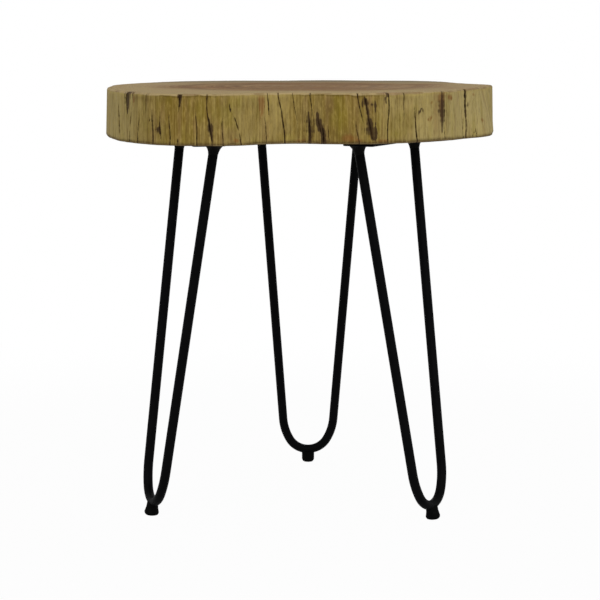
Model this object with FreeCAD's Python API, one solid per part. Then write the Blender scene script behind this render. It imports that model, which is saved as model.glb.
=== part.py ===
import FreeCAD, Part
import math
import os
from FreeCAD import Vector

# Live edge side table: a lobed wood slab screwed down onto three hairpin legs.
# Millimetres, Z up. The origin is on the floor, under the middle of the slab's outline.

# Slab
TABLE_HEIGHT = 450.0
SLAB_THICKNESS = 50.0
SLAB_RADIUS = 200.0  # the live edge is given as distances in and out from this circle
SLAB_TAPER = 1.0  # the top outline stands this far inside the bottom one
SLAB_LEAN = 0.8  # and this far to the right of it
TOP_EDGE_ROUND = 2.5
BOTTOM_EDGE_ROUND = 3.0
ROUND_STEPS = 4  # flats that a quarter round is made of, at the slab's rims and under the feet

# Live edge of the underside: degrees from +X, and millimetres outside SLAB_RADIUS
LIVE_EDGE = (
    (-175, 6.5), (-165, 9), (-155, 14), (-145, 22), (-135, 30), (-126, 33), (-118, 27), (-110, 14),
    (-104, -6), (-99, -24), (-92, -32), (-85, -29), (-77, -20), (-63, -13), (-49, -10), (-36, -9),
    (-25, -7), (-17, 2), (-8, 5), (3, 7.5), (9, 12), (15, 15.5), (22, 9), (31, 8), (41, 20), (49, 26),
    (58, 20), (66, 5), (78, 5), (89, -2), (99, -10), (108, -1), (118, 8), (129, 16), (142, 13), (155, 12),
    (166, 11), (176, 6.5),
)

# The trunk's flute at the front leans, so the top outline is turned by FLUTE_LEAN degrees about there
FLUTE_ANGLE = -95.0
FLUTE_SPREAD = 20.0
FLUTE_LEAN = 4.5

# The trunk swells out under its right shoulder, so the top outline draws in by SHOULDER_DEPTH about there
SHOULDER_ANGLE = -14.0
SHOULDER_SPREAD = 15.0
SHOULDER_DEPTH = 20.0

# Hairpin rods
ROD_DIAMETER = 10.0
ROD_SPACING = 110.2  # between the two rod ends under a plate
BEND_RADIUS = 25.0  # of the tight bend at the bottom, to the rod's centre line
BEND_REACH = 60.0  # degrees of it to each side of its lowest point
FLANK_RADIUS = 61.0  # of the easy bends that lead from it into the straight rods

# Each leg is set by hand: the plate centre's bearing in degrees and how far it lies inside SLAB_RADIUS,
# the heading in degrees that the leg leans to, how far it throws its foot that way, and how many degrees its
# plate is turned from square to that heading
LEFT_BEARING = 204.3
LEFT_INSET = 78.9
LEFT_HEADING = 201.9
LEFT_THROW = 52.3
LEFT_PLATE_TURN = -8.4
BACK_BEARING = 86.3
BACK_INSET = 75.3
BACK_HEADING = 91.2
BACK_THROW = 54.9
BACK_PLATE_TURN = -1.2
RIGHT_BEARING = -31.0
RIGHT_INSET = 97.8
RIGHT_HEADING = -34.3
RIGHT_THROW = 58.5
RIGHT_PLATE_TURN = 7.1

# Mounting plates and the welds that hold the rods to them
PLATE_THICKNESS = 6.0
PLATE_WIDTH = 34.0
PLATE_END_MARGIN = 7.5  # from a weld to the plate's end
PLATE_CORNER_ROUND = 3.0
PLATE_EDGE_ROUND = 0.8
PLATE_WELD_WIDTH = 3.5
PLATE_WELD_DROP = 5.5
WELD_TOE = 0.3  # thickness of a weld at its thin edge

# Countersunk wood screws, four to a plate
SCREW_DIAMETER = 4.8
SCREW_LENGTH = 32.0
SCREW_TIP = 6.0
SCREW_HEAD_DIAMETER = 9.6
SCREW_HEAD_LAND = 0.5  # the head's straight rim, over a cone of 45 degrees
SCREW_HOLE_CLEARANCE = 0.35  # all round the shank in the plate
SCREW_FROM_ROD = 25.0  # along the plate, from a rod's centre
SCREW_FROM_EDGE = 9.0  # from the plate's long edge
CROSS_SLOT_WIDTH = 1.1
CROSS_SLOT_LENGTH = 5.0
CROSS_SLOT_DEPTH = 1.6

# Feet: a steel stud welded under each bend, and a flared rubber foot pressed onto it
FOOT_HEIGHT = 9.8  # from the floor to the rod's underside
FOOT_SOLE = 2.5  # rubber under the stud
FOOT_LENGTH = 14.5  # along the bend
FOOT_NECK_WALL = 0.75  # the neck stands this far outside the rod and the stud's weld, across the bend
FOOT_FLARE = 2.05  # the base stands this far outside the neck, across the bend
FOOT_BASE_ROUND = 4.0
FOOT_SADDLE = 3.5  # how far the neck reaches up round the rod
STUD_DIAMETER = 5.0
STUD_WELD_SIZE = 1.2

# Worked out from the sizes above
SLAB_UNDERSIDE = TABLE_HEIGHT - SLAB_THICKNESS
PLATE_UNDERSIDE = SLAB_UNDERSIDE - PLATE_THICKNESS
PLATE_LENGTH = ROD_SPACING + ROD_DIAMETER + 2 * (PLATE_WELD_WIDTH + PLATE_END_MARGIN)
ROD_RADIUS = ROD_DIAMETER / 2
BEND_HEIGHT = FOOT_HEIGHT + ROD_RADIUS
STUD_RADIUS = STUD_DIAMETER / 2
STUD_WELD_RADIUS = STUD_RADIUS + WELD_TOE + STUD_WELD_SIZE
FOOT_NECK_REACH = max(ROD_RADIUS, STUD_WELD_RADIUS) + FOOT_NECK_WALL
FOOT_BASE_REACH = FOOT_NECK_REACH + FOOT_FLARE
LEGS = {
    "left": (LEFT_BEARING, LEFT_INSET, LEFT_HEADING, LEFT_THROW, LEFT_PLATE_TURN),
    "back": (BACK_BEARING, BACK_INSET, BACK_HEADING, BACK_THROW, BACK_PLATE_TURN),
    "right": (RIGHT_BEARING, RIGHT_INSET, RIGHT_HEADING, RIGHT_THROW, RIGHT_PLATE_TURN),
}
OVAL_POINTS = 12  # that a foot's ovals are drawn through
UP = Vector(0, 0, 1)


def level_direction(angle):
    return Vector(math.cos(math.radians(angle)), math.sin(math.radians(angle)), 0)


def around(centre, radius, angle):
    """A point round a centre, across and down, at an angle in radians from straight down."""
    return (centre[0] + radius * math.sin(angle), centre[1] + radius * math.cos(angle))


class Leg:
    """One leg's directions, its key points and the lines that its rod follows."""

    def __init__(self, bearing, inset, heading, throw, plate_turn):
        centre = level_direction(bearing) * (SLAB_RADIUS - inset)
        out = level_direction(heading)
        self.along = UP.cross(out)
        self.top = centre + UP * PLATE_UNDERSIDE
        self.low = centre + UP * BEND_HEIGHT + out * throw
        self.length = (self.low - self.top).Length
        self.down = (self.low - self.top).normalize()
        self.across = self.along.cross(self.down)
        plate_rotation = FreeCAD.Rotation(UP, heading - 90 + plate_turn)
        self.plate_place = FreeCAD.Placement(centre, plate_rotation).toMatrix()
        self.foot_place = FreeCAD.Placement(self.low, FreeCAD.Rotation(UP, -self.down)).toMatrix()
        self.lean = UP.getAngle(-self.down)
        self.set_bend()

    def set_bend(self):
        """The flanks' circles meet the tight bend's circle at the knees, with their centres in one line. The
        straight rods leave the flanks where the line from a rod's end just touches them."""
        knee_angle = math.radians(BEND_REACH)
        centre = (0, self.length - BEND_RADIUS)
        flank = around(centre, BEND_RADIUS - FLANK_RADIUS, knee_angle)
        across = ROD_SPACING / 2 - flank[0]
        turned = math.atan2(across, flank[1]) + math.acos(FLANK_RADIUS / math.hypot(across, flank[1]))
        touch_angle = math.pi - turned
        self.knee = around(centre, BEND_RADIUS, knee_angle)
        self.flank_middle = around(flank, FLANK_RADIUS, (knee_angle + touch_angle) / 2)
        self.touch = around(flank, FLANK_RADIUS, touch_angle)

    def point(self, across, down):
        """A point of the leg's own plane, measured from the middle of the plate's underside."""
        return self.top + self.along * across + self.down * down

    def oval(self, height, reach_across, reach_along):
        """A closed curve round the foot's axis, at a height over the bend's centre line."""
        centre = self.low - self.down * height
        points = []
        for step in range(OVAL_POINTS):
            turn = 2 * math.pi * step / OVAL_POINTS
            across = self.across * reach_across * math.cos(turn)
            points.append(centre + across + self.along * reach_along * math.sin(turn))
        return Part.Wire([closed_spline(points).toShape()])

    def rod_end(self, side):
        return self.point(side * ROD_SPACING / 2, 0)

    def on_rod(self, side, spot):
        """A spot of the bend, given across and down, on one side of the leg."""
        return self.point(side * spot[0], spot[1])

    def rod_direction(self, side):
        """The way a straight rod runs from its plate to the bend."""
        return (self.on_rod(side, self.touch) - self.rod_end(side)).normalize()

    def flank(self, side):
        """The arc from the straight rod down to the tight bend."""
        spots = (self.touch, self.flank_middle, self.knee)
        return Part.Arc(*[self.on_rod(side, spot) for spot in spots])


def turned_part(corners):
    """A solid of revolution about the vertical, from its corners in radius and height."""
    points = [Vector(radius, 0, height) for radius, height in corners]
    face = Part.Face(Part.makePolygon(points + points[:1]))
    return face.revolve(Vector(0, 0, 0), UP, 360)


def above_plate_underside(leg):
    """The space over a leg's rod ends, where its plate is."""
    reach = ROD_SPACING
    corner = leg.top - Vector(reach, reach, 0)
    return Part.makeBox(2 * reach, 2 * reach, reach, corner)


def closed_spline(points):
    curve = Part.BSplineCurve()
    curve.interpolate(Points=points, PeriodicFlag=True)
    return curve


def nearness(angle, middle, spread):
    """1 at a middle angle, falling to nothing a few spreads away from it."""
    return math.exp(-(((angle - middle) / spread) ** 2))


def outline(height, inset):
    """The live edge at a height: its lean at the flute, its right shoulder and its taper grow upwards, and it
    is drawn in square to itself by inset."""
    rise = (height - SLAB_UNDERSIDE) / SLAB_THICKNESS
    edge = []
    for angle, outside in LIVE_EDGE:
        turn = math.radians(angle - FLUTE_LEAN * rise * nearness(angle, FLUTE_ANGLE, FLUTE_SPREAD))
        shoulder = SHOULDER_DEPTH * rise * nearness(angle, SHOULDER_ANGLE, SHOULDER_SPREAD)
        radius = SLAB_RADIUS + outside - shoulder
        edge.append(Vector(radius * math.cos(turn) + SLAB_LEAN * rise, radius * math.sin(turn), height))
    curve = closed_spline(edge)
    drawn_in = []
    for point in edge:
        outward = curve.tangent(curve.parameter(point))[0].cross(UP)
        drawn_in.append(point - outward * (inset + SLAB_TAPER * rise))
    return Part.Wire([closed_spline(drawn_in).toShape()])


def quarter_round():
    """A round of radius 1 from a flat face to an upright one: how far up, and how far inside the upright."""
    turns = [math.pi / 2 * step / ROUND_STEPS for step in range(ROUND_STEPS + 1)]
    return [(1 - math.cos(turn), 1 - math.sin(turn)) for turn in turns]


def slab_body(holes):
    """The slab: a loft up through its outlines, quarter rounds at both rims, with its screw holes."""
    lower = [outline(SLAB_UNDERSIDE + BOTTOM_EDGE_ROUND * rise, BOTTOM_EDGE_ROUND * inset)
             for rise, inset in quarter_round()]
    upper = [outline(TABLE_HEIGHT - TOP_EDGE_ROUND * rise, TOP_EDGE_ROUND * inset)
             for rise, inset in quarter_round()]
    body = Part.makeLoft(lower + upper[::-1], True, True)
    middle = body.optimalBoundingBox(False, False).Center
    body.translate(Vector(-middle.x, -middle.y, 0))
    return body.cut(holes)


def hairpin_rod(leg):
    """A round bar bent to a U, with its two ends cut flat against the plate."""
    spare = ROD_DIAMETER
    start = leg.rod_end(-1) - leg.rod_direction(-1) * spare
    end = leg.rod_end(1) - leg.rod_direction(1) * spare
    curves = [
        Part.LineSegment(start, leg.on_rod(-1, leg.touch)),
        leg.flank(-1),
        Part.Arc(leg.on_rod(-1, leg.knee), leg.low, leg.on_rod(1, leg.knee)),
        leg.flank(1),
        Part.LineSegment(leg.on_rod(1, leg.touch), end),
    ]
    path = Part.Wire([curve.toShape() for curve in curves])
    section = Part.Wire([Part.Circle(start, leg.rod_direction(-1), ROD_RADIUS).toShape()])
    return path.makePipeShell([section], True, True).cut(above_plate_underside(leg))


def plate_welds(leg, rod):
    """The two weld fillets: cones along the rods, cut by the rod and by the plate's underside."""
    slope = (PLATE_WELD_WIDTH - WELD_TOE) / PLATE_WELD_DROP
    sunk = PLATE_WELD_WIDTH
    welds = []
    for side in (-1, 1):
        direction = leg.rod_direction(side)
        cone = Part.makeCone(
            ROD_RADIUS + PLATE_WELD_WIDTH + slope * sunk, ROD_RADIUS + WELD_TOE, PLATE_WELD_DROP + sunk,
            leg.rod_end(side) - direction * sunk, direction)
        welds.append(cone.cut(rod).cut(above_plate_underside(leg)))
    return Part.makeCompound(welds)


def screw_spots():
    """Screw centres on a plate, along it and across it, at the height of the plate's underside."""
    along = ROD_SPACING / 2 - SCREW_FROM_ROD
    across = PLATE_WIDTH / 2 - SCREW_FROM_EDGE
    return [Vector(x, y, PLATE_UNDERSIDE) for x in (-along, along) for y in (-across, across)]


def countersink(shank, corners):
    """A countersunk head's corners, down its cone to a shank radius, with the corners that follow."""
    head = SCREW_HEAD_DIAMETER / 2
    return [(0, 0), (head, 0), (head, SCREW_HEAD_LAND), (shank, SCREW_HEAD_LAND + head - shank)] + corners


def mounting_plate(leg):
    """A flat bar with rounded corners, eased edges and four countersunk holes."""
    corner = Vector(-PLATE_LENGTH / 2, -PLATE_WIDTH / 2, PLATE_UNDERSIDE)
    plate = Part.makeBox(PLATE_LENGTH, PLATE_WIDTH, PLATE_THICKNESS, corner)
    upright = [edge for edge in plate.Edges if edge.BoundBox.ZLength > PLATE_THICKNESS / 2]
    plate = plate.makeFillet(PLATE_CORNER_ROUND, upright)
    lower_rim = [edge for edge in plate.Edges if edge.BoundBox.ZMax < PLATE_UNDERSIDE + PLATE_THICKNESS / 2]
    plate = plate.makeFillet(PLATE_EDGE_ROUND, lower_rim)
    radius = SCREW_DIAMETER / 2 + SCREW_HOLE_CLEARANCE
    hole = turned_part(countersink(radius, [(radius, PLATE_THICKNESS), (0, PLATE_THICKNESS)]))
    plate = plate.cut([hole.translated(spot) for spot in screw_spots()])
    return plate.transformed(leg.plate_place)


def screw_shank():
    """A screw's straight shank and its point, as corners in radius and height over the head's face."""
    return [(SCREW_DIAMETER / 2, SCREW_LENGTH - SCREW_TIP), (0, SCREW_LENGTH)]


def plate_screws(leg):
    """A leg's wood screws: flush heads with a cross slot, plain shanks and points."""
    screw = turned_part(countersink(SCREW_DIAMETER / 2, screw_shank()))
    for long_x, long_y in ((CROSS_SLOT_LENGTH, CROSS_SLOT_WIDTH), (CROSS_SLOT_WIDTH, CROSS_SLOT_LENGTH)):
        corner = Vector(-long_x / 2, -long_y / 2, 0)
        screw = screw.cut(Part.makeBox(long_x, long_y, CROSS_SLOT_DEPTH, corner))
    screws = Part.makeCompound([screw.translated(spot) for spot in screw_spots()])
    return screws.transformed(leg.plate_place)


def screw_holes(leg):
    """What the screws of one plate take out of the slab."""
    hole = turned_part([(0, 0), (SCREW_DIAMETER / 2, 0)] + screw_shank())
    return [hole.translated(spot).transformed(leg.plate_place) for spot in screw_spots()]


def foot_stud(leg, rod):
    """A short steel pin under the bend, in line with the leg and saddle cut to the rod."""
    length = BEND_HEIGHT - FOOT_SOLE
    pin = turned_part([(0, -length), (STUD_RADIUS, -length), (STUD_RADIUS, 0), (0, 0)])
    return pin.transformed(leg.foot_place).cut(rod)


def foot_weld(leg, rod, stud):
    """The weld fillet round the stud's top, against the rod."""
    toe = STUD_RADIUS + WELD_TOE
    low = -ROD_RADIUS - STUD_WELD_SIZE
    high = FOOT_SADDLE - ROD_RADIUS
    collar = turned_part([
        (0, low), (toe, low), (STUD_WELD_RADIUS, -ROD_RADIUS), (STUD_WELD_RADIUS, high), (0, high)])
    return collar.transformed(leg.foot_place).cut(rod).cut(stud)


def foot(leg, rod, stud, weld):
    """A rubber foot in line with the leg: ovals that flare across the bend, from a neck that saddles the rod
    to a rounded base, cut flat at the floor."""
    sole = FOOT_BASE_REACH - FOOT_BASE_ROUND
    low = -(BEND_HEIGHT + sole * math.sin(leg.lean)) / math.cos(leg.lean)
    rim = low + FOOT_BASE_ROUND
    high = FOOT_SADDLE - ROD_RADIUS
    along = FOOT_LENGTH / 2
    ovals = [leg.oval(low + FOOT_BASE_ROUND * rise, FOOT_BASE_REACH - FOOT_BASE_ROUND * inset,
                      along - FOOT_BASE_ROUND * inset) for rise, inset in quarter_round()]
    ovals.append(leg.oval((rim + high) / 2, FOOT_NECK_REACH + FOOT_FLARE / 4, along))
    ovals.append(leg.oval(high, FOOT_NECK_REACH, along))
    body = Part.makeLoft(ovals, True, True)
    reach = FOOT_LENGTH + FOOT_BASE_REACH
    floor = Part.makeBox(2 * reach, 2 * reach, reach, Vector(leg.low.x - reach, leg.low.y - reach, -reach))
    return body.cut([rod, stud, weld, floor])


def table_nodes():
    """Every node of the table by name."""
    nodes = {}
    holes = []
    for name, place in LEGS.items():
        leg = Leg(*place)
        rod = hairpin_rod(leg)
        stud = foot_stud(leg, rod)
        weld = foot_weld(leg, rod, stud)
        nodes[name + "_mounting_plate"] = mounting_plate(leg)
        nodes[name + "_plate_screws"] = plate_screws(leg)
        nodes[name + "_hairpin_rod"] = rod
        nodes[name + "_plate_welds"] = plate_welds(leg, rod)
        nodes[name + "_foot_stud"] = stud
        nodes[name + "_foot_weld"] = weld
        nodes[name + "_rubber_foot"] = foot(leg, rod, stud, weld)
        holes += screw_holes(leg)
    nodes["slab"] = slab_body(holes)
    return nodes


os.makedirs("parts", exist_ok=True)
for node, shape in table_nodes().items():
    shape.exportStep("parts/" + node + ".step")
    box = shape.optimalBoundingBox(False, False)
    print(node, "solids", len(shape.Solids), "valid", shape.isValid(), "volume %.0f" % shape.Volume,
          "x %.2f %.2f" % (box.XMin, box.XMax), "y %.2f %.2f" % (box.YMin, box.YMax),
          "z %.2f %.2f" % (box.ZMin, box.ZMax))
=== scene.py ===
"""The looks of a live edge side table: the wood slab with its drying checks, the weld beads, the black steel
and rubber, and a pale studio. Lengths are millimetres until a mesh is made. Bearings turn from +X towards +Y.
"""

import math

import bpy
import numpy as np
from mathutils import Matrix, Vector


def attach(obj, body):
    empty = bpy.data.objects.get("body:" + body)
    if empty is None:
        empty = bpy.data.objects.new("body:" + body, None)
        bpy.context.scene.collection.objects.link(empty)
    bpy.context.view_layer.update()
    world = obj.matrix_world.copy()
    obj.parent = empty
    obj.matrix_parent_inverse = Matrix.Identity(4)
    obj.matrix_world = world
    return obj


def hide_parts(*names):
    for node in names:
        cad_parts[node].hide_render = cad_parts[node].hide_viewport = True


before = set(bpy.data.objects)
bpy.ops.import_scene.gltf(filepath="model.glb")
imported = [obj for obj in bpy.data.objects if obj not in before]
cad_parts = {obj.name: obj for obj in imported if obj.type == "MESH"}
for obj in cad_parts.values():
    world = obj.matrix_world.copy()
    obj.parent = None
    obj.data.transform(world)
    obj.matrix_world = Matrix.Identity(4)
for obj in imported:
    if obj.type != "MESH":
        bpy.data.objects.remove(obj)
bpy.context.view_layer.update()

MM = 0.001
TURN = 2 * math.pi
BODY = "root"
LEGS = ("left", "back", "right")

# Camera, found from the photograph's frame of 600 by 600 pixels
PHOTO_SIZE = 600
FOCAL_PIXELS = 1934.06
SENSOR_WIDTH = 36.0
CAMERA_PLACE = np.array([-2.7, -2070.3, 526.7])
CAMERA_PITCH = math.radians(8.42)

# Slab: a wall between two rounded edges, with an outline that is a series of waves round the trunk
LOW_RING = 3.0  # heights above the underside and below the top at which the CAD slab's outlines are read
HIGH_RING = 2.5
BOTTOM_EDGE_ROUND = 1.8
TOP_EDGE_ROUND = 2.6
ROUND_WANDER = 0.35  # share by which the hand sanded rounds grow and shrink
ROUND_CYCLES = (6, 160)
EDGE_WAVES = 46
EDGE_SAMPLES = 4000
EDGE_START = -0.75 * TURN  # the skin is sewn shut at the back
RING_TOLERANCE = 0.05  # a CAD vertex this near to a height belongs to its ring
SEEN_HALF_TURN = math.radians(88)  # the photograph shows the wall this far round to each side
UPRIGHT_FADE = math.radians(7)  # over which its upright fibres turn into ones that follow the wall
PITH = np.array([4.0, 16.0])
PITH_ROUNDNESS = 2.2  # growth rings are round at the pith and follow the edge near it
HEART_MIDDLE = (0.0, 4.0)  # the heartwood is an oval in the sapwood
HEART_REACH = (160.0, 131.0)
COLUMN_SPACING = 1.7
CROWDED_SPACING = 0.42  # next to a check
CROWD_REACH = 2.5
CROWD_POWER = 4  # how sharply the crowding ends
WALL_ROWS = 34
ROUND_ROWS = 5
TOP_RINGS = (0.985, 0.965, 0.94, 0.905, 0.86, 0.8, 0.72, 0.63, 0.54, 0.45, 0.36, 0.27, 0.18, 0.1, 0.04)
UNDERSIDE_RINGS = (0.05, 0.15, 0.3, 0.5, 0.7, 0.85, 0.93, 0.975)
FLUTE_DEPTH = 0.45  # fine ups and downs of the debarked wall
FLUTE_CYCLES = (14, 150)
FLUTE_DRIFT = 0.6  # how much the flutes change from the foot of the wall to its head
RIPPLE_FALL = 0.7  # a wave's height falls with its count of cycles to this power
SHOULDER_BEARING = math.radians(-182)  # the outline is fuller here than in the CAD, as in the photograph
SHOULDER_SPREAD = math.radians(7)
SHOULDER_RISE = 1.5
LIP_SHARE = 0.95  # above this share of its height the wall has painted shade in dark flecks where its wood is deep, and a painted highlight line where it is pale

# Drying checks
CHECK_DEPTH = 1.6  # in check widths
CHECK_DEEPEST = 2.6
CHECK_SHADE = 1.25  # a check is darkened with painted shade out to its edges and a little past them, in half widths
FAINT_CHECK = 0.4  # a check with a smaller half width than this is paler
CHECK_RUN_IN = 9.0  # how far a check 1 mm wide runs in over the top and the underside
RUN_IN_LIMIT = 10.0
SOLE_SHARE = 0.045  # checks grow shallow and painted shade darkens the wall below this share of its height
EDGE_REACH = 0.03  # a line that comes this near to an edge runs over it, as a share of the wall
LINE_WANDER = 0.2
LINE_BENDS = 11.0  # radians of wander up the wall
LINE_WANDER_LENGTH = 5.0
RAGGED = 0.14  # share by which a line's width goes in and out
RAGGED_BENDS = (31.0, 59.0)  # radians of that up the wall
STAIN_SPREAD = 1.4  # a stain shows this far out, in half widths
END_TAPER = 0.07  # a line that stops in the wall tapers off over this share of its height
FIND_ROUNDS = 4
STRETCH_LIMIT = 3.5  # most millimetres of edge to a photograph column, where the wall turns away
HAIR = 0.000001

# Open checks seen at the front, each a line of knots: photograph column and row, and width in columns
FRONT_CHECKS = (
    ((126, 92.8, 1.8), (125.8, 95.5, 1.7), (125.4, 100, 1.3), (125.6, 104, 1), (126.8, 109, 0.5)),
    ((132.2, 93, 0.9), (131.6, 104, 0.5), (130.4, 114, 0.8), (129.6, 122, 0.8), (129.2, 130, 0.7),
     (129, 136, 1.4), (129, 141.5, 1)),
    ((118, 106, 0.6), (118.5, 113, 1.8), (118.8, 122, 1.7), (119.2, 130, 1.2), (119.4, 134, 0.4)),
    ((138.6, 116, 0.4), (138.2, 121, 1), (137.4, 128, 1.1), (136.8, 136, 1.3), (136.6, 143, 1.3)),
    ((145.8, 93, 1), (145.7, 100, 0.8), (145.6, 110, 0.5)),
    ((151.4, 110, 0.5), (151.6, 116, 1.2), (152, 126, 1.4), (152.4, 138, 1.5), (152.5, 146, 1.3)),
    ((159.4, 112, 0.4), (159.2, 122, 0.9), (159.2, 128.6, 2.6), (159.8, 133, 1.2), (160.2, 139, 0.4)),
    ((155.2, 128, 0.5), (156, 128.8, 1.9), (156.8, 129.8, 0.6)),
    ((168.4, 114, 0.4), (168.8, 121, 1), (169.4, 131, 1.2), (169.7, 146, 1.2)),
    ((179.4, 94.8, 5.4), (179, 97.2, 3.8), (178.6, 100.4, 1.6), (178.6, 108, 0.9), (178.2, 113, 0.4)),
    ((149, 118, 0.3), (149.1, 119.2, 1.5), (149.2, 120.4, 0.3)),
    ((177.4, 138, 0.5), (177.5, 140, 1.7), (177.6, 141.8, 0.5)),
    ((195.5, 110, 0.4), (195.8, 119, 1), (196.4, 128, 1.1), (197, 147, 1.4)),
    ((207.3, 91, 1.5), (206.9, 104, 1.2), (206.9, 111, 1.2), (207.6, 117, 1.3), (208.8, 121.4, 1.6),
     (209.6, 126, 2), (210.4, 131, 2), (211.2, 135.4, 1.4), (212, 140, 1), (212.6, 143, 0.4)),
    ((223.6, 115, 0.3), (222.2, 122, 1), (222.6, 132, 0.9), (223.3, 146, 0.9)),
    ((229.2, 103.4, 0.2), (229.9, 106.4, 1.1), (231.2, 110, 0.6), (233.6, 115, 0.3), (235.7, 118.6, 1),
     (237.6, 125, 1.4), (238.8, 129.4, 0.4), (240.3, 135, 0.8), (241.4, 140.5, 1.9), (242.4, 146, 1.1)),
    ((267.4, 91, 0.8), (268.2, 100, 1.2), (269, 108, 1.3), (269.6, 115, 0.6)),
    ((265, 117, 0.3), (266, 125, 0.9), (267, 136, 1), (267.3, 142, 0.5)),
    ((277.4, 90, 0.9), (279, 101, 1.2), (281.8, 112, 1.1), (283.4, 124, 1.6), (284.6, 134, 1.5),
     (285.6, 146, 1.6)),
    ((291, 90, 0.7), (293, 100, 0.8), (295, 110, 0.7), (297, 121, 0.5), (298.6, 136, 0.4)),
    ((309.4, 90, 1.1), (310.4, 101, 1.1), (311.6, 110, 0.9), (312, 117, 0.4)),
    ((309.8, 118, 0.5), (309.5, 122, 1.2), (309.6, 128, 1.8), (309.6, 136, 1.6), (309.2, 146, 1.2)),
    ((317.4, 117, 0.5), (318, 121, 1), (319, 125, 1.4), (320.4, 129.6, 1), (321.2, 132, 0.4)),
    ((322.2, 126, 0.5), (323, 130, 1.4), (323.4, 136, 1.9), (323.3, 146, 1.6)),
    ((328, 124, 0.4), (328.4, 132, 0.9), (328.9, 141, 0.6)),
    ((356.6, 90, 1.1), (358.4, 101, 1.2), (360.6, 109, 1.1), (362.6, 118, 0.9), (363.4, 124, 0.3)),
    ((355.6, 118, 0.3), (356.2, 124, 0.8), (357.6, 132, 0.9), (360, 146, 1.2)),
    ((365.2, 98, 0.8), (365.6, 100.4, 1.8), (366.4, 104, 1.5), (367.6, 111, 1), (368.4, 117, 1),
     (369.6, 121, 1.4), (370.4, 126, 2.2), (371.4, 131.4, 2.2), (372.4, 135.6, 1.2),
     (373.4, 138.6, 0.4)),
    ((375.4, 127, 0.4), (375.8, 130, 0.8), (376, 134, 0.8), (375.6, 137, 0.4)),
    ((389.4, 90, 1.1), (389.8, 104, 1.4), (389.2, 114, 1.3), (388.4, 124, 1.2), (388, 134, 1.3),
     (388.4, 146, 0.9)),
    ((404.4, 90, 1), (404.5, 104, 0.9), (404.7, 116, 0.5), (404.8, 121, 0.2)),
    ((415, 107, 0.5), (415.6, 115, 1.2), (416.6, 125, 1.5), (417.4, 134, 1.7), (418, 146, 1.6)),
    ((444.8, 94, 0.6), (444.8, 104, 0.8), (444.6, 112, 0.9), (444.6, 119, 0.8), (445, 128, 0.8),
     (445.4, 138, 0.5)),
    ((465.8, 85, 3), (465.8, 94, 3.2), (465.8, 102, 2.2), (466.2, 112, 2.8), (466.6, 118, 2),
     (466.6, 128, 1.5), (466.4, 139, 1.2)),
    ((463.6, 119, 0.4), (463.9, 126, 0.8), (464, 132, 0.9), (464, 139, 0.7)),
    ((472.6, 135, 0.5), (474.4, 131.4, 1.1), (476.2, 128.4, 0.6)),
    ((476.6, 128.2, 0.6), (477, 132, 1), (476.8, 136, 0.5)),
)

# Brown marks at the front that lie in the wood without opening it, knots as above
FRONT_STREAKS = (
    ((127.2, 92.6, 5.4), (126.8, 97, 4.6), (126.4, 103, 2.8), (127, 111, 1)),
    ((159.2, 123, 0.8), (158.4, 128, 3.2), (160, 134, 0.9)),
    ((180.6, 94.6, 4), (180, 99, 3.4), (179.2, 106, 1.4)),
    ((208, 117, 1), (209.4, 123, 3.6), (210.2, 129, 4.6), (211.2, 135, 3.2), (212.4, 142, 1.2)),
    ((229.8, 105, 1.2), (230.6, 109, 1.6), (231.6, 113, 0.6)),
    ((308.2, 112, 1.6), (309, 118, 4), (309.6, 124, 5.4), (309.8, 132, 6), (309.6, 138, 4),
     (309.2, 146, 1.6)),
    ((316.8, 113, 2.6), (317.6, 118, 6), (318.8, 124, 7.4), (320.6, 129, 5), (321.6, 132, 2.4)),
    ((321.4, 124, 1.6), (322.8, 129, 4.6), (323.6, 135, 5.6), (323.5, 146, 4)),
    ((364.8, 97.4, 2.6), (365.8, 101, 4.4), (367, 108, 2.6), (368.6, 116, 2.4), (370.4, 122, 6.4),
     (371.2, 128, 9), (372.2, 133, 8.4), (373.4, 137.4, 4)),
    ((374.8, 125, 1.6), (375.6, 130, 3.6), (376, 135, 3.6), (375.6, 138, 1.6)),
    ((374.6, 100, 1), (375.2, 106, 2.4), (375, 112, 0.8)),
    ((372, 101, 0.8), (372.4, 104, 1.6), (372.6, 108, 0.6)),
    ((362.6, 99, 0.8), (362.8, 103, 1.6), (362.8, 108, 0.6)),
    ((387.6, 95.4, 2.4), (385.6, 97, 2.6), (385.2, 99.4, 2.6), (386.4, 102, 2), (387.6, 104, 1)),
    ((442, 91, 0.9), (442.2, 97, 2.8), (442.2, 104, 4.8), (442.2, 111, 5.6), (442.4, 118, 4.4),
     (442.4, 125, 2.2), (442.6, 134, 0.8)),
    ((419.2, 114, 1), (420.2, 110.4, 2), (421.4, 108.2, 1.5)),
    ((422.4, 108.4, 1.3), (423.4, 111.4, 1.7), (423.8, 114.4, 0.8)),
    ((468, 102, 0.6), (468, 104, 1.3), (468, 106, 0.5)),
)

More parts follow.
